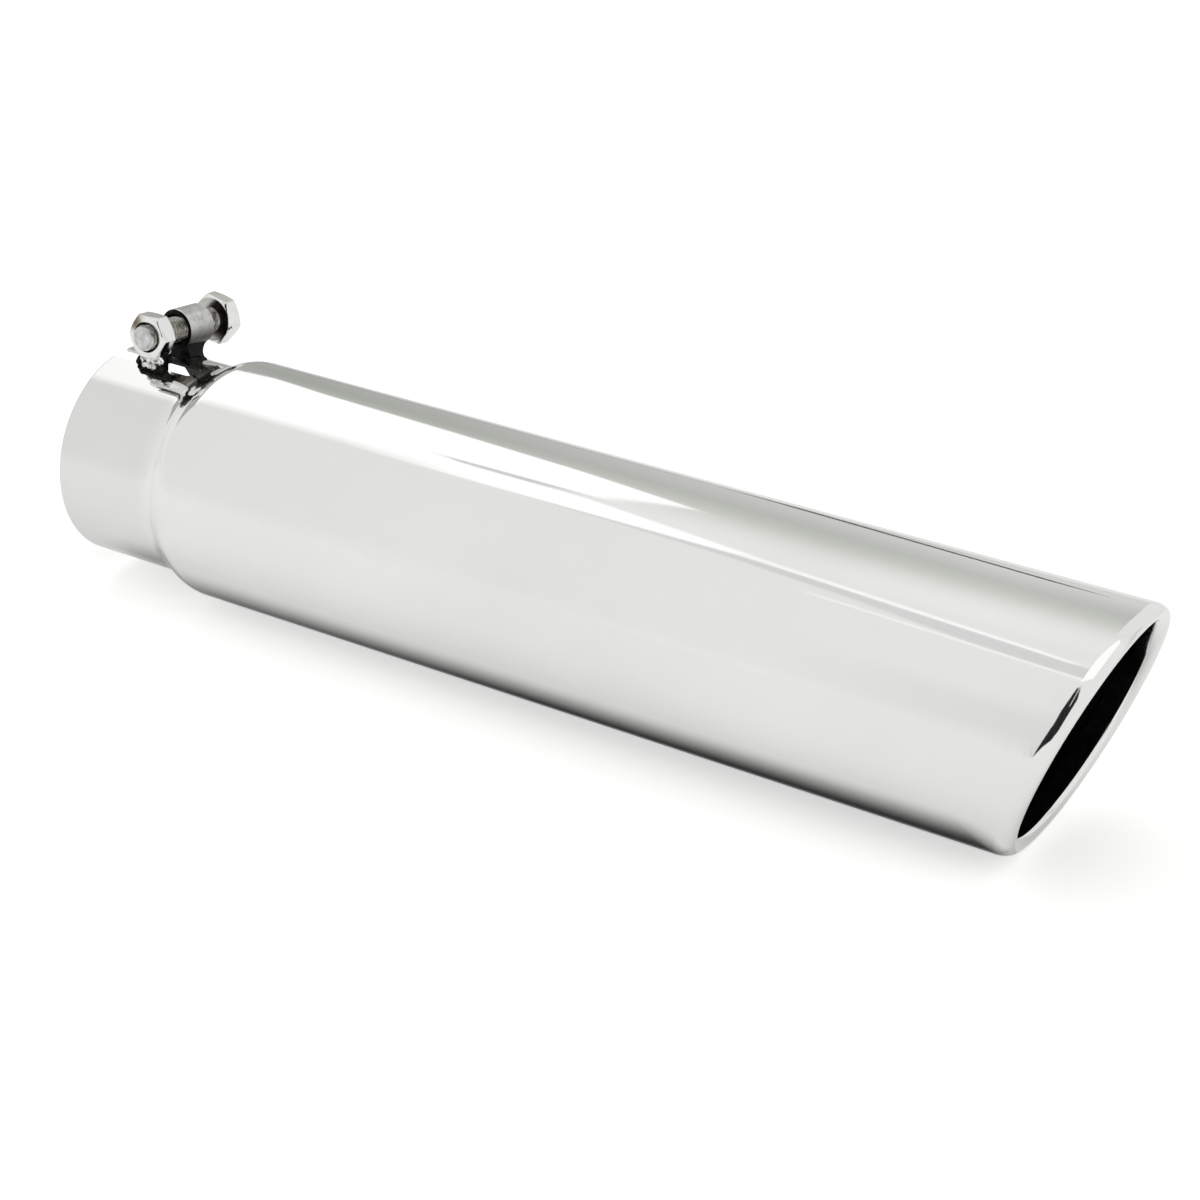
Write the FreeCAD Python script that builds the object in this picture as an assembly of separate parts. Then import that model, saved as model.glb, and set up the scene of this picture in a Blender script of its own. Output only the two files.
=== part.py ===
import FreeCAD, Part
import math
import os

Vec = FreeCAD.Vector

# Exhaust tip, millimetres. The X axis is the tube axis, X = 0 is the inlet end,
# the outlet is at +X and the long side of the slanted outlet is at +Z.

# Tailpipe and sheet
pipe_dia = 76.2
slip_clearance = 0.15
wall = 1.2

# Shell
body_dia = 88.9
overall_length = 406.4
neck_length = 40.0
shoulder_length = 15.5
shoulder_hollow = 5.0
shoulder_crown = 6.5
cut_angle = 19.0
lip_radius = 3.0
lip_return = 6.0

# Slit that lets the neck close on the tailpipe
slit_width = 7.2
slit_length = 38.0
slit_clock = 3.1

# Clamp bolt line: tangent to the neck, turned about the tube axis from the long side
clamp_clock = -7.6
bolt_station = 22.0
bolt_rise = 11.5

# Hardware along the bolt line, 0 at the tangent point and positive towards the bolt head
thread_dia = 9.525
thread_clearance = 0.05
hex_face_share = 0.96
chamfer_slope = 30.0
nut_flats = 15.5
nut_start = -18.0
nut_height = 6.8
nut_turn = 0.0
nut_countersink = 0.7
sleeve_start = -1.8
sleeve_length = 12.9
sleeve_dia = 14.8
sleeve_bore = 11.0
head_flats = 17.0
head_seat = 18.0
head_height = 6.4
head_turn = -10.0
bolt_length = 38.4
bolt_end_chamfer = 1.0

# Welded feet under the nut and under the sleeve
nut_foot_width = 10.0
nut_foot_setback = 3.2
sleeve_foot_width = 9.0
sleeve_foot_inset = 1.0
sleeve_foot_top = 3.0
foot_flank = 3.6
foot_waist = 1.7

neck_inner = pipe_dia / 2 + slip_clearance
neck_outer = neck_inner + wall
body_outer = body_dia / 2
body_inner = body_outer - wall
bolt_level = neck_outer + bolt_rise
thread_radius = thread_dia / 2
slant = math.tan(math.radians(cut_angle))
lip_reach = slant * (body_outer - lip_radius) + math.hypot(1, slant) * lip_radius
joint_x = overall_length - lip_reach
origin = Vec(0, 0, 0)
tube_axis = Vec(1, 0, 0)
bolt_axis = Vec(0, 1, 0)


def profile_face(points):
    """Face in the XZ plane. A point is (x, r), or (x, r, via_x, via_r) to reach it by an arc."""
    edges = []
    for i, end in enumerate(points):
        start = points[i - 1]
        a = Vec(start[0], 0, start[1])
        b = Vec(end[0], 0, end[1])
        if len(end) == 4:
            edges.append(Part.Arc(a, Vec(end[2], 0, end[3]), b).toShape())
        else:
            edges.append(Part.makeLine(a, b))
    return Part.Face(Part.Wire(edges))


def turned(points):
    return profile_face(points).revolve(origin, tube_axis, 360)


def shoulder_turn():
    """Cone angle at which hollow, cone and crown together climb from the neck to the body."""
    step = body_outer - neck_outer
    arcs = shoulder_hollow + shoulder_crown
    cone = shoulder_length - arcs
    half = step / (2 * shoulder_length)
    for i in range(30):
        half = step / (arcs + 2 * cone / (1 - half * half))
    return 2 * math.atan(half)


def shoulder_path(side):
    """Stations of the shoulder on the outer (side = 1) or inner (side = -1) skin."""
    turn = shoulder_turn()
    half = turn / 2
    hollow_bend = shoulder_hollow / math.sin(turn)
    crown_bend = shoulder_crown / math.sin(turn)
    hollow_r = hollow_bend - side * wall / 2
    crown_r = crown_bend + side * wall / 2
    hollow_x = neck_length
    hollow_c = neck_outer - wall / 2 + hollow_bend
    crown_x = neck_length + shoulder_length
    crown_c = body_outer - wall / 2 - crown_bend
    start = (hollow_x, hollow_c - hollow_r)
    hollow_mid = (hollow_x + hollow_r * math.sin(half), hollow_c - hollow_r * math.cos(half))
    hollow_end = (hollow_x + hollow_r * math.sin(turn), hollow_c - hollow_r * math.cos(turn))
    crown_start = (crown_x - crown_r * math.sin(turn), crown_c + crown_r * math.cos(turn))
    crown_mid = (crown_x - crown_r * math.sin(half), crown_c + crown_r * math.cos(half))
    end = (crown_x, crown_c + crown_r)
    return start, hollow_mid, hollow_end, crown_start, crown_mid, end


def rolled_lip():
    """Outlet edge rolled inwards, turned square and then sheared onto the slanted cut."""
    outer_low = body_outer - 2 * lip_radius
    ring = body_outer - lip_radius
    inside = lip_radius - wall
    square = turned([
        (0, body_outer),
        (0, outer_low, lip_radius, ring),
        (-lip_return, outer_low),
        (-lip_return, outer_low + wall),
        (0, outer_low + wall),
        (inside, ring),
        (0, body_inner),
    ])
    shear = FreeCAD.Matrix()
    shear.A13 = slant
    return square.transformGeometry(shear)


def tip_shell():
    lip = rolled_lip()
    lip.translate(Vec(joint_x, 0, 0))
    o_start, o_hollow, o_low, o_high, o_crown, o_end = shoulder_path(1)
    i_start, i_hollow, i_low, i_high, i_crown, i_end = shoulder_path(-1)
    tube = turned([
        (0, neck_inner),
        (0, neck_outer),
        o_start,
        o_low + o_hollow,
        o_high,
        o_end + o_crown,
        (overall_length, body_outer),
        (overall_length, body_inner),
        i_end,
        i_high + i_crown,
        i_low,
        i_start + i_hollow,
    ])
    beyond = Part.makeBox(overall_length, 4 * body_dia, 4 * body_dia, Vec(0, -2 * body_dia, -2 * body_dia))
    beyond.rotate(origin, Vec(0, 1, 0), cut_angle)
    beyond.translate(Vec(joint_x, 0, 0))
    shell = tube.cut(beyond).fuse(lip)
    half = slit_width / 2
    run = slit_length - half
    slit = Part.makeBox(2 * run, slit_width, body_dia, Vec(-run, -half, 0))
    slit = slit.fuse(Part.makeCylinder(half, body_dia, Vec(run, 0, 0), Vec(0, 0, 1)))
    slit.rotate(origin, tube_axis, slit_clock)
    return shell.cut(slit)


def bolt_cylinder(dia, start, length):
    return Part.makeCylinder(dia / 2, length, Vec(bolt_station, start, bolt_level), bolt_axis)


def hex_block(flats, start, height, turn):
    """Hexagon on the bolt line, flats up and down at turn 0, with both faces chamfered."""
    corner = flats / math.sqrt(3)
    points = []
    for i in range(7):
        angle = math.radians(turn + 60 * i)
        x = bolt_station + corner * math.cos(angle)
        z = bolt_level + corner * math.sin(angle)
        points.append(Vec(x, start, z))
    prism = Part.Face(Part.makePolygon(points)).extrude(bolt_axis * height)
    face_r = hex_face_share * flats / 2
    drop = (corner - face_r) * math.tan(math.radians(chamfer_slope))
    base = Vec(bolt_station, start, bolt_level)
    low = Part.makeCone(face_r, corner, drop, base, bolt_axis)
    mid = Part.makeCylinder(corner, height - 2 * drop, base + bolt_axis * drop, bolt_axis)
    high = Part.makeCone(corner, face_r, drop, base + bolt_axis * (height - drop), bolt_axis)
    return prism.common(low.fuse(mid).fuse(high))


def clamp_nut():
    bore_r = thread_radius + thread_clearance
    mouth_r = bore_r + nut_countersink
    mouth = Vec(bolt_station, nut_start, bolt_level)
    countersink = Part.makeCone(mouth_r, bore_r, nut_countersink, mouth, bolt_axis)
    nut = hex_block(nut_flats, nut_start, nut_height, nut_turn)
    return nut.cut(bolt_cylinder(2 * bore_r, nut_start, nut_height)).cut(countersink)


def clamp_sleeve():
    tube = bolt_cylinder(sleeve_dia, sleeve_start, sleeve_length)
    return tube.cut(bolt_cylinder(sleeve_bore, sleeve_start, sleeve_length))


def clamp_bolt():
    tip_r = thread_radius - bolt_end_chamfer
    bolt_end = head_seat - bolt_length
    start = Vec(bolt_station, bolt_end, bolt_level)
    point = Part.makeCone(tip_r, thread_radius, bolt_end_chamfer, start, bolt_axis)
    shank = bolt_cylinder(thread_dia, bolt_end + bolt_end_chamfer, bolt_length - bolt_end_chamfer)
    return point.fuse(shank).fuse(hex_block(head_flats, head_seat, head_height, head_turn))


def neck_solid():
    return Part.makeCylinder(neck_outer, neck_length, origin, tube_axis)


def nut_foot():
    """Block between the neck and the lower flat of the nut."""
    left = bolt_station - nut_foot_width / 2
    start = nut_start + nut_foot_setback
    depth = nut_height - nut_foot_setback
    height = bolt_level - nut_flats / 2
    block = Part.makeBox(nut_foot_width, depth, height, Vec(left, start, 0))
    return block.cut(neck_solid())


def sleeve_foot():
    """Pedestal with hollowed flanks between the neck and the underside of the sleeve."""
    left = bolt_station - sleeve_foot_width / 2
    start = sleeve_start + sleeve_foot_inset
    depth = sleeve_length - 2 * sleeve_foot_inset
    height = bolt_level - sleeve_foot_top
    block = Part.makeBox(sleeve_foot_width, depth, height, Vec(left, start, 0))
    foot = block.cut(neck_solid()).cut(bolt_cylinder(sleeve_dia, sleeve_start, sleeve_length))
    level = bolt_level - sleeve_dia / 2 - foot_flank / 2
    for face, side in ((start, -1), (start + depth, 1)):
        hollow = Vec(left, face + side * (foot_flank - foot_waist), level)
        foot = foot.cut(Part.makeCylinder(foot_flank, sleeve_foot_width, hollow, tube_axis))
    return foot


nodes = {
    "tip_shell": tip_shell(),
    "nut_foot": nut_foot(),
    "clamp_nut": clamp_nut(),
    "sleeve_foot": sleeve_foot(),
    "clamp_sleeve": clamp_sleeve(),
    "clamp_bolt": clamp_bolt(),
}

os.makedirs("parts", exist_ok=True)
for name, shape in nodes.items():
    if name != "tip_shell":
        shape.rotate(origin, tube_axis, clamp_clock)
    shape.exportStep("parts/" + name + ".step")
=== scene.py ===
import math

import bmesh
import bpy
from mathutils import Matrix, Vector, noise


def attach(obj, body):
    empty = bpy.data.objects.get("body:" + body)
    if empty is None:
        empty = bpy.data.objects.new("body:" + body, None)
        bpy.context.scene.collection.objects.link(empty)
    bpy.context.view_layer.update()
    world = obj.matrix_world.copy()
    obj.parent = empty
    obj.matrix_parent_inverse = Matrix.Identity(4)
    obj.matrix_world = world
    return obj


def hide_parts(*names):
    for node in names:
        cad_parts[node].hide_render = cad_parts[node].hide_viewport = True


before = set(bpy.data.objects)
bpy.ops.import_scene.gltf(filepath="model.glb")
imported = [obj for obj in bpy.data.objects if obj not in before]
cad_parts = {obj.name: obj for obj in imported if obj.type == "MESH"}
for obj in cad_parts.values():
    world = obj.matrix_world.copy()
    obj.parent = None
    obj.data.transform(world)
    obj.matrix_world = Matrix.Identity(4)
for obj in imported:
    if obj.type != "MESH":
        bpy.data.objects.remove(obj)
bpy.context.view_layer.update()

# Sizes in millimetres, the same values as the solids have.
MM = 0.001
WALL = 1.2
NECK_INNER = 38.25
NECK_OUTER = NECK_INNER + WALL
BODY_OUTER = 44.45
BODY_INNER = BODY_OUTER - WALL
OVERALL = 406.4
NECK_END = 40.0
SHOULDER_LENGTH = 15.5
SHOULDER_END = NECK_END + SHOULDER_LENGTH
SHOULDER_HOLLOW, SHOULDER_CROWN = 5.0, 6.5
CUT_ANGLE = 19.0
SLANT = math.tan(math.radians(CUT_ANGLE))
LIP_RADIUS = 3.0
LIP_RETURN = 6.0
JOINT_X = OVERALL - SLANT * (BODY_OUTER - LIP_RADIUS) - math.hypot(1, SLANT) * LIP_RADIUS
SLIT_HALF = 3.6
SLIT_END = 38.0
SLIT_RUN = SLIT_END - SLIT_HALF
SLIT_CLOCK = 3.1
CLAMP_CLOCK = -7.6
BOLT_X = 22.0
BOLT_RISE = 11.5
BOLT_LEVEL = NECK_OUTER + BOLT_RISE
NUT_START, NUT_HEIGHT, NUT_FLATS, NUT_SINK = -18.0, 6.8, 15.5, 0.7
NUT_LOW = BOLT_LEVEL - NUT_FLATS / 2
SLEEVE_START, SLEEVE_LENGTH, SLEEVE_R, SLEEVE_BORE = -1.8, 12.9, 7.4, 5.5
HEAD_SEAT, HEAD_HEIGHT, HEAD_FLATS, HEAD_TURN = 18.0, 6.4, 17.0, -10.0
HEX_FACE_SHARE, CHAMFER_SLOPE = 0.96, 30.0
BOLT_LENGTH, BOLT_CHAMFER = 38.4, 1.0
BOLT_END = HEAD_SEAT - BOLT_LENGTH
THREAD_R, THREAD_CLEARANCE = 4.7625, 0.05

# What the scene adds to the solids: a softer lip, eased edges and the cut thread.
LIP_LEAD = 2.6
LIP_GROWTH = 0.3
RIM_EASE = 0.25
SLEEVE_EASE = 0.45
FOOT_EASE, FOOT_ANGLE, FOOT_JOIN, FOOT_CLOSE = 0.35, 40.0, 0.01, 0.005
HEX_CORNER, HEX_EASE = 0.5, 0.18
THREAD_PITCH, THREAD_DEPTH, CREST_WEAR = 1.5875, 0.95, 0.03
POINT_GAP = 0.06

CLAMP_TURN = Matrix.Rotation(math.radians(CLAMP_CLOCK), 4, "X")
BOLT_LINE = CLAMP_TURN @ Matrix.Translation((BOLT_X * MM, 0.0, BOLT_LEVEL * MM))


# Node helpers

def coords(tree, scale):
    """Object coordinates, scaled."""
    tex = tree.nodes.new("ShaderNodeTexCoord")
    mapping = tree.nodes.new("ShaderNodeMapping")
    mapping.inputs["Scale"].default_value = scale
    tree.links.new(tex.outputs["Object"], mapping.inputs["Vector"])
    return mapping


def grain(tree, scale, detail=3.0, rough=0.55):
    """Noise over object coordinates, with so many cells to the metre along each axis."""
    node = tree.nodes.new("ShaderNodeTexNoise")
    node.inputs["Scale"].default_value = 1.0
    node.inputs["Detail"].default_value = detail
    node.inputs["Roughness"].default_value = rough
    tree.links.new(coords(tree, scale).outputs["Vector"], node.inputs["Vector"])
    return node.outputs["Fac"]


def ramp(tree, fac, stops):
    node = tree.nodes.new("ShaderNodeValToRGB")
    points = node.color_ramp.elements
    while len(points) < len(stops):
        points.new(0.5)
    for point, (at, colour) in zip(points, stops):
        point.position = at
        point.color = (*colour, 1.0)
    tree.links.new(fac, node.inputs["Fac"])
    return node.outputs["Color"]


def grey(value, tint=(1.0, 1.0, 1.0)):
    return tuple(value * t for t in tint)


def spread(tree, fac, low, high, start=0.3, end=0.7):
    """Map start..end to low..high, clamped. The default suits a noise."""
    node = tree.nodes.new("ShaderNodeMapRange")
    node.inputs["From Min"].default_value = start
    node.inputs["From Max"].default_value = end
    node.inputs["To Min"].default_value = low
    node.inputs["To Max"].default_value = high
    tree.links.new(fac, node.inputs["Value"])
    return node.outputs["Result"]


def calc(tree, operation, *values):
    """A math node on sockets or plain numbers."""
    node = tree.nodes.new("ShaderNodeMath")
    node.operation = operation
    for socket, value in zip(node.inputs, values):
        if isinstance(value, float):
            socket.default_value = value
        else:
            tree.links.new(value, socket)
    return node.outputs[0]


def times(tree, a, b):
    return calc(tree, "MULTIPLY", a, b)


def combine(tree, operation, colour, other):
    """A colour multiplied by, or added to, another colour or a factor."""
    node = tree.nodes.new("ShaderNodeVectorMath")
    node.operation = operation
    tree.links.new(colour, node.inputs[0])
    tree.links.new(other, node.inputs[1])
    return node.outputs[0]


def shade(tree, colour, fac):
    return combine(tree, "MULTIPLY", colour, fac)


def axis_of(tree, axis, space="Object"):
    """One coordinate, in metres in object space. In a world, Generated is the direction."""
    tex = tree.nodes.new("ShaderNodeTexCoord")
    split = tree.nodes.new("ShaderNodeSeparateXYZ")
    tree.links.new(tex.outputs[space], split.inputs[0])
    return split.outputs[axis]


def spot(tree, centre, reach):
    """A round stain: 1 at the centre, 0 at the reach. Millimetres in object space."""
    scale = 1.0 / (reach * MM)
    mapping = coords(tree, (scale, scale, scale))
    mapping.inputs["Location"].default_value = [-c * MM * scale for c in centre]
    node = tree.nodes.new("ShaderNodeTexGradient")
    node.gradient_type = "SPHERICAL"
    tree.links.new(mapping.outputs["Vector"], node.inputs["Vector"])
    return node.outputs["Fac"]


def bump(tree, bsdf, height, strength, distance, below=None):
    """Bump the surface, on top of the normal below if there is one."""
    node = tree.nodes.new("ShaderNodeBump")
    node.inputs["Strength"].default_value = strength
    node.inputs["Distance"].default_value = distance
    tree.links.new(height, node.inputs["Height"])
    if below is not None:
        tree.links.new(below, node.inputs["Normal"])
    tree.links.new(node.outputs["Normal"], bsdf.inputs["Normal"])
    return node.outputs["Normal"]


def new_material(name, metallic=1.0):
    mat = bpy.data.materials.new(name)
    mat.use_nodes = True
    tree = mat.node_tree
    bsdf = tree.nodes["Principled BSDF"]
    bsdf.inputs["Metallic"].default_value = metallic
    return mat, tree, bsdf


def paint(tree, bsdf, colour, roughness):
    tree.links.new(colour, bsdf.inputs["Base Color"])
    tree.links.new(roughness, bsdf.inputs["Roughness"])


# Materials

def polished_sheet():
    """Mirror-polished sheet, a little duller on the neck."""
    mat, tree, bsdf = new_material("polished_sheet")
    cloud = grain(tree, (9.0, 14.0, 14.0), 4.0)
    lines = grain(tree, (2600.0, 60.0, 60.0), 2.0)
    wave = grain(tree, (5.0, 30.0, 30.0), 2.0)
    colour = ramp(tree, cloud, [
        (0.30, grey(0.865, (0.998, 1.0, 0.992))),
        (0.52, grey(0.905, (0.998, 1.0, 0.995))),
        (0.75, grey(0.93))])
    duller = spread(tree, axis_of(tree, "X"), 0.93, 1.0, 0.037, 0.043)
    paint(tree, bsdf, shade(tree, colour, duller), spread(tree, lines, 0.045, 0.10))
    first = bump(tree, bsdf, wave, 0.12, 0.0006)
    bump(tree, bsdf, lines, 0.05, 0.00002, first)
    return mat


def painted_dark_inside():
    # The inside of the tube, painted near-black for the shade inside it, with weakened reflections.
    mat, tree, bsdf = new_material("painted_dark_inside", 0.4)
    patch = grain(tree, (60.0, 60.0, 60.0), 5.0)
    colour = ramp(tree, patch, [
        (0.35, grey(0.006)),
        (0.55, grey(0.012, (1.0, 0.97, 0.93))),
        (0.75, grey(0.026, (1.0, 0.95, 0.88)))])
    paint(tree, bsdf, colour, spread(tree, patch, 0.42, 0.62))
    bsdf.inputs["Specular IOR Level"].default_value = 0.2
    bump(tree, bsdf, patch, 0.3, 0.0002)
    return mat


def slit_edge():
    """Cut edge of the slit, light at the inlet and painted dark towards the clamp for the shade in
    the slit.
    """
    mat, tree, bsdf = new_material("slit_edge")
    patch = grain(tree, (400.0, 400.0, 400.0), 4.0)
    colour = ramp(tree, spread(tree, axis_of(tree, "X"), 0.0, 1.0, 0.009, 0.017), [
        (0.0, grey(0.82)), (0.6, grey(0.20, (1.0, 0.95, 0.88))), (1.0, grey(0.03))])
    speck = ramp(tree, patch, [(0.35, grey(0.75)), (0.6, grey(1.0))])
    paint(tree, bsdf, shade(tree, colour, speck), spread(tree, patch, 0.22, 0.40))
    bump(tree, bsdf, patch, 0.15, 0.0001)
    return mat


def bright_hardware(name, stain=None):
    """Bright plated steel, with an optional brown stain (centre, reach)."""
    mat, tree, bsdf = new_material(name)
    patch = grain(tree, (170.0, 170.0, 170.0))
    scratch = grain(tree, (900.0, 120.0, 2400.0))
    colour = ramp(tree, patch, [
        (0.26, grey(0.72, (1.0, 0.985, 0.965))),
        (0.42, grey(0.86, (1.0, 0.995, 0.985))),
        (0.70, grey(0.93))])
    if stain is not None:
        tint = ramp(tree, spot(tree, *stain), [
            (0.0, grey(1.0)), (0.25, grey(0.92, (1.0, 0.97, 0.93))),
            (0.55, grey(0.40, (1.0, 0.88, 0.72))), (0.85, grey(0.22, (1.0, 0.86, 0.68)))])
        colour = shade(tree, colour, tint)
    paint(tree, bsdf, colour, spread(tree, scratch, 0.10, 0.20))
    first = bump(tree, bsdf, patch, 0.08, 0.0001)
    bump(tree, bsdf, scratch, 0.08, 0.00003, first)
    return mat


def head_seat():
    """Bearing face of the bolt head: painted dark for the shade and dark reflections on it, with
    painted bright reflections below and at an upper corner.
    """
    mat, tree, bsdf = new_material("head_seat")
    patch = grain(tree, (260.0, 260.0, 260.0), 4.0)
    lower = spread(tree, axis_of(tree, "Z"), 1.0, 0.0, -0.0068, -0.0042)
    corner = calc(tree, "SUBTRACT", axis_of(tree, "Z"), axis_of(tree, "X"))
    upper = spread(tree, corner, 0.0, 1.0, 0.0046, 0.0074)
    dark = ramp(tree, patch, [
        (0.30, grey(0.55)),
        (0.55, grey(0.85, (1.0, 0.97, 0.94))),
        (0.75, grey(1.0, (1.0, 0.95, 0.88)))])
    colour = ramp(tree, calc(tree, "MAXIMUM", lower, upper), [
        (0.0, grey(0.055, (1.0, 0.95, 0.88))), (0.5, grey(0.22)), (1.0, grey(0.72))])
    paint(tree, bsdf, shade(tree, colour, dark), spread(tree, patch, 0.22, 0.36))
    bump(tree, bsdf, patch, 0.12, 0.0001)
    return mat


def thread_steel():
    mat, tree, bsdf = new_material("thread_steel")
    streak = grain(tree, (500.0, 90.0, 500.0), 4.0)
    colour = ramp(tree, streak, [
        (0.30, grey(0.14, (1.0, 0.96, 0.86))),
        (0.50, grey(0.33, (1.0, 0.97, 0.88))),
        (0.72, grey(0.58, (1.0, 0.98, 0.93)))])
    paint(tree, bsdf, colour, spread(tree, streak, 0.42, 0.22))
    bump(tree, bsdf, streak, 0.2, 0.0001)
    return mat


def bolt_point():
    mat, tree, bsdf = new_material("bolt_point")
    patch = grain(tree, (360.0, 360.0, 360.0), 4.0)
    scratch = grain(tree, (350.0, 350.0, 3200.0))
    colour = ramp(tree, patch, [(0.30, grey(0.50)), (0.52, grey(0.66)), (0.70, grey(0.80))])
    paint(tree, bsdf, colour, spread(tree, scratch, 0.28, 0.46))
    first = bump(tree, bsdf, patch, 0.3, 0.0002)
    bump(tree, bsdf, scratch, 0.25, 0.00006, first)
    return mat


def satin_sleeve():
    """Turned steel, smudged, with painted shade darkening it towards the bottom."""
    mat, tree, bsdf = new_material("satin_sleeve")
    turning = grain(tree, (160.0, 2600.0, 160.0))
    smudge = grain(tree, (230.0, 230.0, 230.0), 4.0, 0.6)
    colour = ramp(tree, smudge, [
        (0.26, grey(0.30, (1.0, 0.98, 0.95))),
        (0.38, grey(0.60, (1.0, 0.995, 0.98))),
        (0.56, grey(0.72, (1.0, 0.997, 0.99))),
        (0.80, grey(0.78))])
    # Painted shade: black at the bottom, none at the top.
    shade_below = ramp(tree, spread(tree, axis_of(tree, "Z"), 0.0, 1.0, -0.0055, 0.0035), [
        (0.0, grey(0.03)), (0.3, grey(0.12, (1.0, 0.96, 0.92))),
        (0.6, grey(0.42, (1.0, 0.98, 0.96))), (0.8, grey(0.76)), (1.0, grey(1.0))])
    paint(tree, bsdf, shade(tree, colour, shade_below), spread(tree, turning, 0.24, 0.36))
    first = bump(tree, bsdf, smudge, 0.12, 0.0002)
    bump(tree, bsdf, turning, 0.18, 0.00004, first)
    return mat


# Near-black steel: burnt on the weld beads, and painted shade on the feet, the nut's mouths and
# bore and the sleeve's ends and bore.
def burnt_and_shaded_steel():
    mat, tree, bsdf = new_material("burnt_and_shaded_steel", 0.7)
    patch = grain(tree, (300.0, 300.0, 300.0), 5.0)
    colour = ramp(tree, patch, [
        (0.30, grey(0.004)),
        (0.55, grey(0.010, (1.0, 0.97, 0.94))),
        (0.75, grey(0.05, (1.0, 0.96, 0.90)))])
    paint(tree, bsdf, colour, spread(tree, patch, 0.32, 0.5))
    bsdf.inputs["Specular IOR Level"].default_value = 0.12
    bump(tree, bsdf, patch, 0.4, 0.0003)
    return mat


def weld_metal():
    mat, tree, bsdf = new_material("weld_metal")
    patch = grain(tree, (480.0, 480.0, 480.0), 4.0)
    colour = ramp(tree, patch, [
        (0.34, grey(0.07)),
        (0.44, grey(0.60, (1.0, 0.98, 0.95))),
        (0.58, grey(0.95))])
    paint(tree, bsdf, colour, spread(tree, patch, 0.35, 0.14))
    bump(tree, bsdf, patch, 0.35, 0.0004)
    return mat


SHEET = polished_sheet()
INSIDE = painted_dark_inside()
EDGE = slit_edge()
BRIGHT = bright_hardware("bright_hardware")
STAINED = bright_hardware("stained_hardware", ((-5.4, -18.0, 4.8), 5.2))
SEAT = head_seat()
THREAD = thread_steel()
POINT = bolt_point()
SATIN = satin_sleeve()
BURNT_AND_SHADED = burnt_and_shaded_steel()
WELD = weld_metal()


def make_piece(name, verts, faces, slots, marks, sharp=35.0, place=None):
    """A smooth-shaded mesh piece. Points are in millimetres, marks give the faces' materials."""
    mesh = bpy.data.meshes.new(name)
    mesh.from_pydata([Vector(v) * MM for v in verts], [], faces)
    for mat in slots:
        mesh.materials.append(mat)
    mesh.polygons.foreach_set("material_index", marks)
    mesh.polygons.foreach_set("use_smooth", [True] * len(mesh.polygons))
    bm = bmesh.new()
    bm.from_mesh(mesh)
    bmesh.ops.recalc_face_normals(bm, faces=bm.faces)
    bm.to_mesh(mesh)
    bm.free()
    mesh.set_sharp_from_angle(angle=math.radians(sharp))
    obj = bpy.data.objects.new(name, mesh)
    bpy.context.scene.collection.objects.link(obj)
    if place is not None:
        obj.matrix_world = place
    return obj


def steps(a, b, count):
    """The values from a to b in equal steps, without a itself."""
    return [a + (b - a) * i / count for i in range(1, count + 1)]


# Shell, with its material slots

# Slot 1 is the inside of the sheet, painted dark for its shade.
POLISHED, SHADED_INSIDE, CUT = 0, 1, 2


def shoulder_rows(side, count):
    """(x, r) stations of the shoulder from neck to body, on the outer (1) or inner (-1) skin."""
    rise = BODY_OUTER - NECK_OUTER
    arcs = SHOULDER_HOLLOW + SHOULDER_CROWN
    cone = SHOULDER_LENGTH - arcs
    half = rise / (2 * SHOULDER_LENGTH)
    for _ in range(30):
        half = rise / (arcs + 2 * cone / (1 - half * half))
    turn = 2 * math.atan(half)
    hollow_bend = SHOULDER_HOLLOW / math.sin(turn)
    crown_bend = SHOULDER_CROWN / math.sin(turn)
    hollow_r = hollow_bend - side * WALL / 2
    crown_r = crown_bend + side * WALL / 2
    hollow_c = NECK_OUTER - WALL / 2 + hollow_bend
    crown_c = BODY_OUTER - WALL / 2 - crown_bend
    rows = []
    for i in range(count + 1):
        t = turn * i / count
        rows.append((NECK_END + hollow_r * math.sin(t), hollow_c - hollow_r * math.cos(t)))
    for i in range(count + 1):
        t = turn * (1 - i / count)
        rows.append((SHOULDER_END - crown_r * math.sin(t), crown_c + crown_r * math.cos(t)))
    return rows


def slit_angle(x, r):
    """Half angle of the slit at a station, 0 past its round end."""
    if x >= SLIT_END - 1e-6:
        return 0.0
    half = SLIT_HALF if x <= SLIT_RUN else math.sqrt(SLIT_HALF ** 2 - (x - SLIT_RUN) ** 2)
    return math.asin(half / r)


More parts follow.
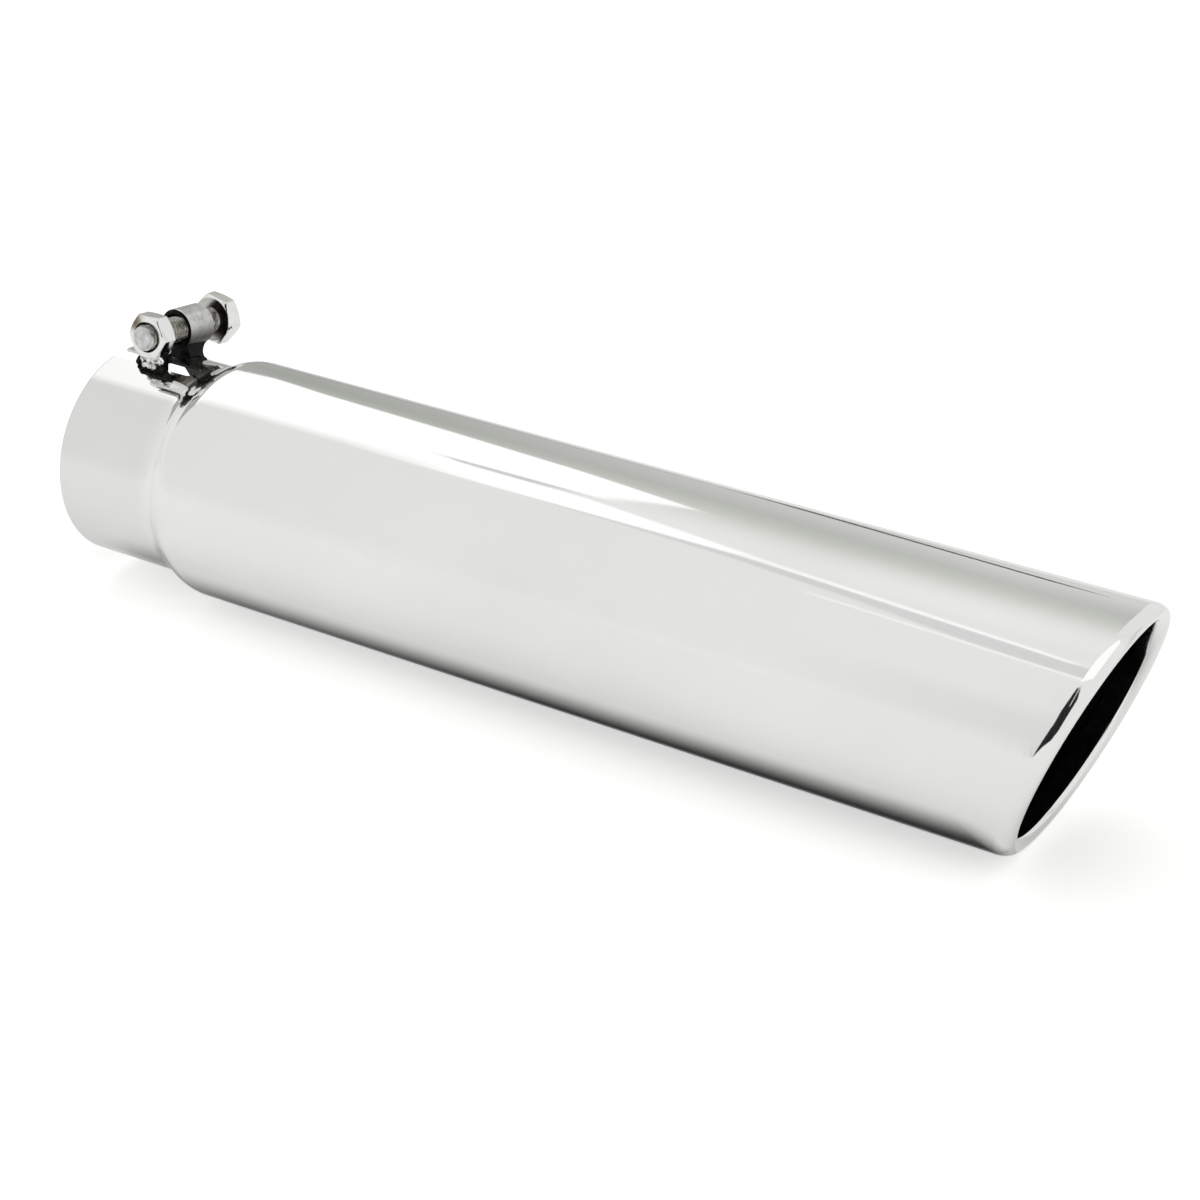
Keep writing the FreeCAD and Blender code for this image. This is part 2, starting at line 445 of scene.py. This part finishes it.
def shell_rows():
    """Closed profile loop: each row is (x, share of the slanted run, lip offset, r, material slot).
    Also gives the number of rows along the slit and of the rounded inlet rim."""
    neck_x = [RIM_EASE, 2 * RIM_EASE] + steps(2 * RIM_EASE, SLIT_RUN, 8)
    neck_x += [SLIT_RUN + SLIT_HALF * math.sin(math.radians(a)) for a in steps(0, 90, 12)]
    outer = [(x, 0.0, 0.0, NECK_OUTER, POLISHED) for x in neck_x]
    outer += [(x, 0.0, 0.0, r, POLISHED) for x, r in shoulder_rows(1, 12)]
    outer += [(SHOULDER_END, s, -LIP_LEAD * s, BODY_OUTER, POLISHED) for s in steps(0, 1, 18)]
    ring = BODY_OUTER - LIP_RADIUS
    low = ring - LIP_RADIUS
    lip = []
    for a in steps(0, 180, 40):
        t = math.radians(a)
        lead = LIP_LEAD if a < 90.0 else 0.0
        reach = (LIP_RADIUS + lead) * math.sin(t) - lead
        lip.append((0.0, 1.0, reach, ring + LIP_RADIUS * math.cos(t), POLISHED))
    lip += [(0.0, 1.0, x, low, POLISHED) for x in steps(0, -LIP_RETURN + RIM_EASE, 5)]
    lip += [(0.0, 1.0, -LIP_RETURN, low + RIM_EASE, POLISHED),
            (0.0, 1.0, -LIP_RETURN, low + WALL, SHADED_INSIDE)]
    hidden = LIP_RADIUS - WALL
    for a in [180.0] + [180.0 - s for s in steps(0, 180, 8)]:
        t = math.radians(a)
        lip.append((0.0, 1.0, hidden * math.sin(t), ring + hidden * math.cos(t), SHADED_INSIDE))
    inner = [(SHOULDER_END, 1 - s, 0.0, BODY_INNER, SHADED_INSIDE) for s in steps(0, 1, 18)]
    inner += [(x, 0.0, 0.0, r, SHADED_INSIDE) for x, r in reversed(shoulder_rows(-1, 12)[:-1])]
    inner += [(x, 0.0, 0.0, NECK_INNER, SHADED_INSIDE) for x in reversed(neck_x)]
    fold = RIM_EASE * (1 - math.sqrt(0.5))
    bend = ((fold, NECK_INNER + fold), (0.0, NECK_INNER + RIM_EASE),
            (0.0, NECK_OUTER - RIM_EASE), (fold, NECK_OUTER - fold))
    rim = [(x, 0.0, 0.0, r, POLISHED) for x, r in bend]
    return outer + lip + inner + rim, len(neck_x), len(rim)


def build_shell():
    """The profile swept round the tube, opened along the slit and sheared onto the slanted cut."""
    rows, slit_rows, rim_rows = shell_rows()
    columns = 320
    squeeze = math.radians(24.0)
    verts, grid = [], []
    for x, share, offset, r, _ in rows:
        half = slit_angle(x, r) if share == 0.0 else 0.0
        line = []
        for j in range(columns + 1):
            if j == columns and half == 0.0:
                line.append(line[0])
                continue
            u = 2 * math.pi * j / columns
            near = min(u, 2 * math.pi - u)
            push = half * max(0.0, 1 - near / squeeze) ** 2
            phi = math.radians(SLIT_CLOCK) + u + (push if u <= math.pi else -push)
            reach = r
            if share == 1.0:
                deep = BODY_OUTER - r
                short_side = ((1 - math.cos(phi)) / 2) ** 2
                reach -= LIP_GROWTH * short_side * deep * deep / (2 * LIP_RADIUS)
            z = reach * math.cos(phi)
            cut = JOINT_X + SLANT * z
            verts.append(((1 - share) * x + share * cut + offset, -reach * math.sin(phi), z))
            line.append(len(verts) - 1)
        grid.append(line)
    faces, marks = [], []
    slots = [row[-1] for row in rows]
    total = len(rows)
    for i in range(total):
        k = (i + 1) % total
        slot = SHADED_INSIDE if slots[i] == slots[k] == SHADED_INSIDE else POLISHED
        for j in range(columns):
            faces.append((grid[i][j], grid[i][j + 1], grid[k][j + 1], grid[k][j]))
            marks.append(slot)
    first_inner = total - rim_rows - 1
    for j in (0, columns):
        for i in range(slit_rows - 1):
            a, b = grid[i][j], grid[i + 1][j]
            c, d = grid[first_inner - i - 1][j], grid[first_inner - i][j]
            faces.append((a, b, c, d))
            marks.append(CUT)
        cap = [grid[i][j] for i in range(first_inner, total)] + [grid[0][j]]
        faces.append(tuple(cap))
        marks.append(POLISHED)
    return make_piece("polished_shell", verts, faces, [SHEET, INSIDE, EDGE], marks)


shell = build_shell()
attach(shell, "tip")
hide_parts("tip_shell")


# Turned and hexagon hardware, built along local Y on the bolt line

def hex_radius(angle, flats, turn):
    """Hexagon reach at an angle, with its corners eased."""
    apothem = flats / 2
    local = (angle - math.radians(turn) + math.pi / 6) % (math.pi / 3) - math.pi / 6
    sharp = apothem / math.cos(math.pi / 6 - abs(local))
    tip = 2 * apothem / math.sqrt(3) - HEX_CORNER * (2 / math.sqrt(3) - 1)
    centre = tip - HEX_CORNER
    across = centre * math.sin(local)
    if abs(across) < HEX_CORNER:
        eased = centre * math.cos(local) + math.sqrt(HEX_CORNER ** 2 - across ** 2)
        return min(sharp, eased)
    return sharp


def lathe(name, rings, columns, slots, marks, closed=True):
    """Rings are (t, r) or functions angle -> (t, r), joined in order along the bolt line.
    A closed piece joins its last ring to its first, an open one gets a cap at both ends."""
    verts, grid = [], []
    for ring in rings:
        line = []
        for j in range(columns):
            angle = 2 * math.pi * j / columns
            t, r = ring(angle) if callable(ring) else ring
            verts.append((r * math.cos(angle), t, r * math.sin(angle)))
            line.append(len(verts) - 1)
        grid.append(line)
    faces, slots_of = [], []
    count = len(rings)
    for i in range(count if closed else count - 1):
        k = (i + 1) % count
        for j in range(columns):
            m = (j + 1) % columns
            faces.append((grid[i][j], grid[i][m], grid[k][m], grid[k][j]))
            slots_of.append(marks[i])
    if not closed:
        for end in (0, -1):
            faces.append(tuple(grid[end]))
            slots_of.append(marks[end])
    return make_piece(name, verts, faces, slots, slots_of, place=BOLT_LINE)


def hex_rings(flats, turn, start, height):
    """Rings from the near face out over the chamfer, down the flats and over the far chamfer."""
    face_r = HEX_FACE_SHARE * flats / 2
    fall = math.tan(math.radians(CHAMFER_SLOPE))
    end = start + height
    dip = 0.3 * HEX_EASE * fall

    def ring(depth_gain, radius_loss, far):
        def at(angle):
            reach = hex_radius(angle, flats, turn)
            depth = max(0.0, reach - face_r) * fall + depth_gain * HEX_EASE
            return end - depth if far else start + depth, reach - radius_loss * HEX_EASE
        return at

    near = [(start, face_r - 2 * HEX_EASE), (start, face_r - HEX_EASE), (start + dip, face_r)]
    far = [(end - dip, face_r), (end, face_r - HEX_EASE), (end, face_r - 2 * HEX_EASE)]
    # Depth gained and radius lost, in parts of the ease, where a chamfer turns into the flats.
    bend = ((-0.4, 0.9), (0.25, 0.25), (1.2, 0.0))
    down = [ring(depth, loss, False) for depth, loss in bend]
    up = [ring(depth, loss, True) for depth, loss in reversed(bend)]
    return near + down + up + far


def build_nut():
    bore = THREAD_R + THREAD_CLEARANCE
    mouth = bore + NUT_SINK
    end = NUT_START + NUT_HEIGHT
    ease_depth, ease_in, ease_out = 0.06, 0.02, 0.12
    rings = [(NUT_START + NUT_SINK, bore), (NUT_START + ease_depth, mouth - ease_in),
             (NUT_START, mouth + ease_out)]
    rings += hex_rings(NUT_FLATS, 0.0, NUT_START, NUT_HEIGHT)
    rings += [(end, mouth), (end - NUT_SINK, bore)]
    # Both mouths and the bore are painted dark for the shade in them, the near face and its chamfer
    # stained, the rest bright.
    marks = [1] * 2 + [2] * 6 + [0] * (len(rings) - 10) + [1] * 2
    return lathe("hex_nut", rings, 192, [BRIGHT, BURNT_AND_SHADED, STAINED], marks)


def build_sleeve():
    a, b = SLEEVE_START, SLEEVE_START + SLEEVE_LENGTH
    e = SLEEVE_EASE
    rings = [(a + e, SLEEVE_BORE), (a, SLEEVE_BORE + e), (a, SLEEVE_R - e),
             (a + 0.3 * e, SLEEVE_R - 0.3 * e), (a + e, SLEEVE_R), (a + 2 * e, SLEEVE_R)]
    rings += [(t, SLEEVE_R) for t in steps(a + 2 * e, b - 2 * e, 8)]
    rings += [(b - e, SLEEVE_R), (b - 0.3 * e, SLEEVE_R - 0.3 * e), (b, SLEEVE_R - e),
              (b, SLEEVE_BORE + e), (b - e, SLEEVE_BORE)]
    # Both end faces and the bore are painted dark for the shade on them.
    marks = [1] * 3 + [0] * (len(rings) - 6) + [1] * 3
    return lathe("spacer_sleeve", rings, 96, [SATIN, BURNT_AND_SHADED], marks)


def thread_radius(t, angle):
    """Radius of a single-start thread, run out under the head and chamfered at the point."""
    turn = (t / THREAD_PITCH - angle / (2 * math.pi)) % 1.0
    wave = abs(2 * turn - 1)
    root_flat, flank = 0.08, 0.78
    form = min(1.0, max(0.0, (wave - root_flat) / flank))
    run_out_gap, run_out = 0.6, 1.2
    fade = min(1.0, max(0.0, (HEAD_SEAT - run_out_gap - t) / run_out))
    crest = THREAD_R - CREST_WEAR
    chamfer = THREAD_R - BOLT_CHAMFER + max(0.0, t - BOLT_END)
    return min(crest - THREAD_DEPTH * (1 - form) * fade, chamfer)


def build_bolt():
    """The bolt from its point to the top of its head. Slots: 0 thread, 1 point, 2 head, 3 seat."""
    # The face of the point is slightly uneven.
    face_edge = THREAD_R - BOLT_CHAMFER - 0.15
    face = ((0.03, 0.6), (0.05, 1.6), (0.02, 2.6), (0.0, face_edge))
    rings = [(BOLT_END + t, r) for t, r in face]
    marks = [1] * len(rings)
    rows = 208
    first = BOLT_END + POINT_GAP
    for i in range(rows + 1):
        t = first + (HEAD_SEAT - first) * i / rows
        rings.append(lambda angle, t=t: (t, thread_radius(t, angle)))
        marks.append(1 if t < BOLT_END + BOLT_CHAMFER else 0)
    marks[-1] = 3
    rings += hex_rings(HEAD_FLATS, HEAD_TURN, HEAD_SEAT, HEAD_HEIGHT)
    marks += [3] * 2
    top = HEAD_SEAT + HEAD_HEIGHT
    rings += [(top, 5.0), (top, 2.0)]
    marks += [2] * (len(rings) - len(marks))
    return lathe("clamp_screw", rings, 192, [THREAD, POINT, BRIGHT, SEAT], marks, closed=False)


nut = build_nut()
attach(nut, "tip")
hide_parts("clamp_nut")

sleeve = build_sleeve()
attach(sleeve, "tip")
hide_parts("clamp_sleeve")

bolt = build_bolt()
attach(bolt, "bolt")
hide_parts("clamp_bolt")

# The feet keep their solids. The first weld joins the split edges, so that the bevel acts on
# them. The last one closes the flat slivers that the bevel leaves at the corners.
for foot in ("nut_foot", "sleeve_foot"):
    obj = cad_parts[foot]
    obj.data.materials.clear()
    # The feet are painted near-black for the shade under the clamp.
    obj.data.materials.append(BURNT_AND_SHADED)
    join = obj.modifiers.new("joined_edges", "WELD")
    join.merge_threshold = FOOT_JOIN * MM
    ease = obj.modifiers.new("eased_edges", "BEVEL")
    ease.width = FOOT_EASE * MM
    ease.segments = 2
    ease.limit_method = "ANGLE"
    ease.angle_limit = math.radians(FOOT_ANGLE)
    close = obj.modifiers.new("closed_corners", "WELD")
    close.merge_threshold = FOOT_CLOSE * MM


# Weld beads, in the clamp's turned frame: x along the tube, t along the bolt line, then the level

BEAD_STEP = 0.22
BEAD_OUT = Vector((0.0, 0.31, 0.95))
RIPPLE_LOW, RIPPLE_RISE, RIPPLE_PITCH = 0.82, 0.22, 1.5
LUMP_GRAIN, LUMP_SIZE = 0.8, 0.42


def build_bead(name, radius, mat, seed, path):
    """A lumpy weld bead along a path, tapered at both ends."""
    points = [Vector(p) for p in path]
    legs = [(b - a).length for a, b in zip(points, points[1:])]
    total = sum(legs)
    count = max(16, int(total / BEAD_STEP))
    around = 14
    verts, faces = [], []
    for i in range(count + 1):
        s = total * i / count
        rest, leg = s, 0
        while leg < len(legs) - 1 and rest > legs[leg]:
            rest -= legs[leg]
            leg += 1
        at = points[leg].lerp(points[leg + 1], rest / legs[leg])
        along = (points[leg + 1] - points[leg]).normalized()
        side = along.cross(BEAD_OUT).normalized()
        rise = side.cross(along)
        end = min(1.0, min(s, total - s) / radius + 0.02)
        taper = math.sqrt(1 - (1 - end) ** 2)
        ripple = RIPPLE_LOW + RIPPLE_RISE * abs(math.cos(math.pi * s / (RIPPLE_PITCH * radius)))
        for j in range(around):
            a = 2 * math.pi * j / around
            out = side * math.cos(a) + rise * math.sin(a)
            lump = noise.noise((at + out * radius) * LUMP_GRAIN + Vector((seed, 0.0, 0.0)))
            verts.append(at + out * radius * taper * (ripple + LUMP_SIZE * lump))
    for i in range(count):
        for j in range(around):
            m = (j + 1) % around
            a, b = i * around, (i + 1) * around
            faces.append((a + j, a + m, b + m, b + j))
    faces.append(tuple(range(around)))
    faces.append(tuple(range(count * around, (count + 1) * around)))
    bead = make_piece(name, verts, faces, [mat], [0] * len(faces), 70.0, CLAMP_TURN)
    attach(bead, "tip")


def under_nut(x, t, drop):
    return x, t, NUT_LOW - drop


def on_neck(x, t, lift):
    return x, t, math.sqrt(NECK_OUTER ** 2 - t ** 2) + lift


build_bead("bead_nut_front", 1.45, WELD, 1.0, [
    under_nut(17.4, -15.1, 1.5), under_nut(20.0, -15.4, 0.9),
    under_nut(23.5, -15.4, 1.0), under_nut(27.6, -14.7, 1.3)])
build_bead("bead_nut_drop", 1.25, WELD, 4.0, [
    under_nut(18.2, -15.3, 3.4), under_nut(21.0, -15.7, 3.0), under_nut(25.2, -15.5, 3.5)])
build_bead("bead_nut_left", 1.9, BURNT_AND_SHADED, 7.0, [
    on_neck(12.4, -11.2, 0.5), on_neck(14.6, -11.8, 1.7), under_nut(16.6, -13.0, 1.4)])
build_bead("bead_nut_back", 1.3, BURNT_AND_SHADED, 9.0, [
    under_nut(15.8, -10.9, 1.2), under_nut(20.0, -10.7, 0.6), under_nut(28.4, -10.9, 1.0)])
build_bead("bead_nut_base", 0.75, BURNT_AND_SHADED, 12.0, [
    on_neck(16.8, -12.6, 0.1), on_neck(17.2, -14.8, 0.1), on_neck(22.0, -15.0, 0.1),
    on_neck(26.9, -14.8, 0.1), on_neck(27.2, -12.0, 0.1)])
build_bead("bead_sleeve_left", 0.9, BURNT_AND_SHADED, 15.0, [
    on_neck(17.2, 9.0, 0.1), on_neck(17.3, 4.5, 0.2), on_neck(17.4, -0.4, 0.1)])
build_bead("bead_sleeve_right", 0.9, BURNT_AND_SHADED, 18.0, [
    on_neck(26.6, -0.4, 0.1), on_neck(26.7, 4.5, 0.2), on_neck(26.8, 10.0, 0.1)])


# Camera, fitted to the photograph's outline

CAMERA_AZ, CAMERA_EL = math.radians(33.223), math.radians(27.468)
CAMERA_AT = Vector((0.66176, -0.68834, 0.42263))
CAMERA_LENS, CAMERA_SENSOR = 81.66, 36.0


def make_camera():
    right = Vector((math.cos(CAMERA_AZ), math.sin(CAMERA_AZ), 0.0))
    back = Vector((math.sin(CAMERA_AZ) * math.cos(CAMERA_EL),
                   -math.cos(CAMERA_AZ) * math.cos(CAMERA_EL), math.sin(CAMERA_EL)))
    up = back.cross(right)
    data = bpy.data.cameras.new("photo_camera")
    data.sensor_width = CAMERA_SENSOR
    data.lens = CAMERA_LENS
    data.clip_start, data.clip_end = 0.01, 100.0
    cam = bpy.data.objects.new("photo_camera", data)
    turn = Matrix((right, up, back)).transposed().to_4x4()
    cam.matrix_world = Matrix.Translation(CAMERA_AT) @ turn
    bpy.context.scene.collection.objects.link(cam)
    bpy.context.scene.camera = cam


# Studio

FLOOR_Z = -BODY_OUTER
SHADE_Z = FLOOR_Z + 0.3
CARD_Z = 800.0
CARD_Y = 1500.0
FLOOR_SEEN, FLOOR_MIRRORED = 0.46, 0.12


def stage_material(name):
    """A material with an empty tree, and the socket its shader goes to."""
    mat = bpy.data.materials.new(name)
    mat.use_nodes = True
    tree = mat.node_tree
    tree.nodes.clear()
    return mat, tree, tree.nodes.new("ShaderNodeOutputMaterial").inputs["Surface"]


def flat_object(name, corners, mat):
    mesh = bpy.data.meshes.new(name)
    mesh.from_pydata(corners, [], [tuple(range(len(corners)))])
    mesh.materials.append(mat)
    obj = bpy.data.objects.new(name, mesh)
    bpy.context.scene.collection.objects.link(obj)
    return obj


def rectangle(x0, x1, y0, y1, z):
    return [(x0, y0, z), (x1, y0, z), (x1, y1, z), (x0, y1, z)]


def hide(obj, mirrored_only):
    """Hide from the camera, and from all but mirrors if mirrored_only."""
    obj.visible_camera = False
    obj.visible_diffuse = not mirrored_only
    obj.visible_shadow = not mirrored_only


def veil(tree, surface, shader, share):
    """Show the shader by its share, and what lies behind it by the rest."""
    clear = tree.nodes.new("ShaderNodeBsdfTransparent")
    mix = tree.nodes.new("ShaderNodeMixShader")
    tree.links.new(share, mix.inputs["Fac"])
    tree.links.new(clear.outputs[0], mix.inputs[1])
    tree.links.new(shader.outputs[0], mix.inputs[2])
    tree.links.new(mix.outputs[0], surface)


def make_floor():
    """Pale floor that keeps the shadow. It glows a little where it is seen or mirrored."""
    mat, tree, surface = stage_material("studio_floor")
    cover = tree.nodes.new("ShaderNodeBsdfDiffuse")
    cover.inputs["Color"].default_value = (0.92, 0.92, 0.915, 1.0)
    glow = tree.nodes.new("ShaderNodeEmission")
    path = tree.nodes.new("ShaderNodeLightPath")
    seen = calc(tree, "MULTIPLY", path.outputs["Is Camera Ray"], FLOOR_SEEN)
    both = calc(tree, "MULTIPLY_ADD", path.outputs["Is Glossy Ray"], FLOOR_MIRRORED, seen)
    tree.links.new(both, glow.inputs["Strength"])
    add = tree.nodes.new("ShaderNodeAddShader")
    tree.links.new(cover.outputs[0], add.inputs[0])
    tree.links.new(glow.outputs[0], add.inputs[1])
    tree.links.new(add.outputs[0], surface)
    reach = 30.0
    floor = flat_object("studio_floor", rectangle(-reach, reach, -reach, reach, FLOOR_Z * MM), mat)


def make_under_shade():
    """Dark strip on the floor under the tube. Only the polished sheet mirrors it."""
    mat, tree, surface = stage_material("under_shade")
    dark = tree.nodes.new("ShaderNodeBsdfDiffuse")
    dark.inputs["Color"].default_value = (0.02, 0.02, 0.02, 1.0)
    x, y = axis_of(tree, "X"), axis_of(tree, "Y")
    slope = calc(tree, "MULTIPLY_ADD", x, 0.02, y)
    near = ramp(tree, spread(tree, slope, 0.0, 1.0, -0.042, -0.014), [
        (0.0, grey(0.0)), (0.18, grey(0.12)), (0.38, grey(0.42)), (0.52, grey(0.62)),
        (0.66, grey(0.80)), (0.80, grey(0.92)), (1.0, grey(0.95))])
    far = spread(tree, y, 1.0, 0.35, -0.0225, -0.0165)
    inlet_end = ramp(tree, spread(tree, x, 0.0, 1.0, -0.01, 0.19), [
        (0.0, grey(0.0)), (0.14, grey(0.5)), (0.35, grey(0.78)), (1.0, grey(1.0))])
    before_lip = calc(tree, "MULTIPLY_ADD", y, -0.6, x)
    outlet_end = spread(tree, before_lip, 1.0, 0.0, 0.382, 0.396)
    share = times(tree, times(tree, near, far), times(tree, inlet_end, outlet_end))
    veil(tree, surface, dark, share)
    strip = flat_object("under_shade", rectangle(-0.012, 0.43, -0.056, -0.012, SHADE_Z * MM), mat)
    hide(strip, mirrored_only=True)


def make_back_shade():
    """Grey cover on the floor far behind the tube, as the sheet's upper rim mirrors it."""
    mat, tree, surface = stage_material("back_shade")
    cover = tree.nodes.new("ShaderNodeEmission")
    cover.inputs["Color"].default_value = (0.985, 1.0, 0.97, 1.0)
    cover.inputs["Strength"].default_value = 0.36
    depth = ramp(tree, spread(tree, axis_of(tree, "Y"), 0.0, 1.0, 0.2, 4.2), [
        (0.0, grey(0.0)), (0.025, grey(0.35)), (0.0625, grey(0.75)),
        (0.15, grey(0.9)), (0.375, grey(1.0))])
    aside = calc(tree, "DIVIDE", axis_of(tree, "X"), axis_of(tree, "Y"))
    share = times(tree, depth, spread(tree, aside, 1.0, 0.15, -0.65, 0.05))
    veil(tree, surface, cover, share)
    sheet = flat_object("back_shade", rectangle(-8.0, 4.0, 0.18, 9.0, SHADE_Z * MM), mat)
    hide(sheet, mirrored_only=True)


def make_world():
    """Soft light that darkens towards the back. The camera sees plain white."""
    world = bpy.data.worlds.new("studio")
    bpy.context.scene.world = world
    world.use_nodes = True
    tree = world.node_tree
    tree.nodes.clear()
    heading = {axis: axis_of(tree, axis, "Generated") for axis in "XYZ"}

    def gated(value, gates):
        for axis, start, end in gates:
            value = times(tree, value, spread(tree, heading[axis], 0.0, 1.0, start, end))
        return value

    warm = (1.0, 1.0, 0.982)
    tint = (0.98, 1.0, 0.93)
    colour = ramp(tree, spread(tree, heading["Y"], 0.0, 1.0, -1.0, 1.0), [
        (0.0, grey(0.84, warm)),
        (0.50, grey(0.84, warm)),
        (0.58, grey(0.875, warm)),
        (0.64, grey(0.865, warm)),
        (0.71, grey(0.80, warm)),
        (0.765, grey(0.70, tint)),
        (0.82, grey(0.57, tint)),
        (0.88, grey(0.42, tint)),
        (1.0, grey(0.39, tint))])
    colour = shade(tree, colour, spread(tree, heading["Z"], 1.035, 1.0, 0.0, 0.18))
    colour = shade(tree, colour, spread(tree, heading["X"], 0.955, 1.0, -0.62, -0.47))
    cloud = ramp(tree, spread(tree, heading["X"], 0.0, 1.0, -0.5, -0.2), [
        (0.0, grey(0.0)), (0.25, grey(0.0)), (0.5, grey(0.09)),
        (0.63, grey(0.09)), (0.8, grey(0.0))])
    cloud = gated(cloud, (("Z", 0.62, 0.45), ("Y", -0.5, -0.7), ("Z", -0.06, 0.26)))
    colour = shade(tree, colour, calc(tree, "SUBTRACT", 1.0, cloud))
    lift = spread(tree, heading["X"], 0.0, 0.28, -0.60, -0.36)
    lift = gated(lift, (("Z", 0.85, 0.20), ("Y", 0.55, 0.75)))
    soft = tree.nodes.new("ShaderNodeBackground")
    tree.links.new(combine(tree, "ADD", colour, lift), soft.inputs["Color"])
    white = tree.nodes.new("ShaderNodeBackground")
    white.inputs["Color"].default_value = (1.0, 1.0, 1.0, 1.0)
    white.inputs["Strength"].default_value = 1.0
    path = tree.nodes.new("ShaderNodeLightPath")
    mix = tree.nodes.new("ShaderNodeMixShader")
    out = tree.nodes.new("ShaderNodeOutputWorld")
    tree.links.new(path.outputs["Is Camera Ray"], mix.inputs["Fac"])
    tree.links.new(soft.outputs[0], mix.inputs[1])
    tree.links.new(white.outputs[0], mix.inputs[2])
    tree.links.new(mix.outputs[0], out.inputs["Surface"])


def make_card(name, corners, strength, mirrored_only=False, fade=None):
    """A flat studio card, corners in millimetres. The camera never sees it.
    A fade (low strength, x0, x1, y0, y1) softens its front edge on the inlet side."""
    mat, tree, surface = stage_material(name)
    glow = tree.nodes.new("ShaderNodeEmission")
    glow.inputs["Color"].default_value = (0.994, 1.0, 0.988, 1.0)
    glow.inputs["Strength"].default_value = strength
    if fade is not None:
        low, x0, x1, y0, y1 = fade
        loss = times(tree, spread(tree, axis_of(tree, "X"), strength - low, 0.0, x0 * MM, x1 * MM),
                     spread(tree, axis_of(tree, "Y"), 1.0, 0.0, y0 * MM, y1 * MM))
        tree.links.new(calc(tree, "SUBTRACT", strength, loss), glow.inputs["Strength"])
    tree.links.new(glow.outputs[0], surface)
    card = flat_object(name, [Vector(c) * MM for c in corners], mat)
    hide(card, mirrored_only)


def overhead(drop, *points):
    """Corners (x, y) of a card that hangs level, a little below or above the others."""
    return [(x, y, CARD_Z - drop) for x, y in points]


def upright(y, *points):
    """Corners (x, z) of a card that stands across the room."""
    return [(x, y, z) for x, z in points]


make_camera()
make_floor()
make_under_shade()
make_back_shade()
make_world()
make_card("card_back", overhead(
    0, (-1135, 1420), (-912, 1175), (-660, 1000), (-430, 805), (-250, 590),
    (-240, 268), (-370, 255), (-830, 255), (-1000, 900)), 1.15)
make_card("card_top", overhead(
    0, (-830, 255), (-370, 255), (-345, 212), (-240, 208), (-95, 60), (-110, 0), (-830, 0)),
    1.15, fade=(0.84, -420, -290, 0, 120))
make_card("card_gap", overhead(
    -1, (-430, 250), (-290, 275), (-252, 262), (-290, 200), (-430, 240)), 0.6, mirrored_only=True)
make_card("card_left_grey", overhead(
    0, (-2600, 40), (-860, 40), (-860, 255), (-1030, 900), (-1180, 1547), (-2600, 3000)), 0.42)
make_card("card_front_dark", upright(
    -CARD_Y, (-80, 2), (60, 90), (240, 190), (650, 235), (850, 420), (850, CARD_Z), (-40, CARD_Z)),
    0.02, mirrored_only=True)
make_card("card_front_high", overhead(
    1, (-10, -1500), (850, -1500), (640, -800), (340, -500), (165, -440), (125, -620), (30, -1026)),
    0.02, mirrored_only=True)
make_card("card_lip_line", overhead(
    2, (250, -430), (300, -440), (420, -900), (370, -900)), 0.6, mirrored_only=True)
make_card("card_lip_white", overhead(
    3, (400, 270), (560, 200), (620, -118), (660, -379), (160, -355), (168, -31), (250, 130)),
    1.1, mirrored_only=True)
make_card("card_lip_top", overhead(
    0, (150, 365), (900, 335), (1500, 1500), (-20, 1500)), 0.82, mirrored_only=True)
make_card("card_lip_back", upright(
    CARD_Y + 1, (-45, FLOOR_Z), (2200, FLOOR_Z), (2200, CARD_Z), (-20, CARD_Z)),
    0.82, mirrored_only=True)
make_card("card_back_line", upright(
    CARD_Y, (-520, FLOOR_Z), (-430, FLOOR_Z), (-120, 330), (-190, 330)), 0.05)
make_card("stripe_grey", overhead(
    1, (-300, -3), (-110, 16), (200, -190), (190, -330), (60, -258),
    (-20, -128), (-110, -42), (-200, -16)), 0.7)
make_card("stripe_upper", overhead(
    2, (-100, 62), (142, -130), (138, -160), (-105, 20)), 1.06)
make_card("stripe_lower", overhead(
    2, (-60, -192), (190, -322), (186, -350), (-60, -216)), 1.0)

bpy.context.scene.view_settings.view_transform = "Standard"
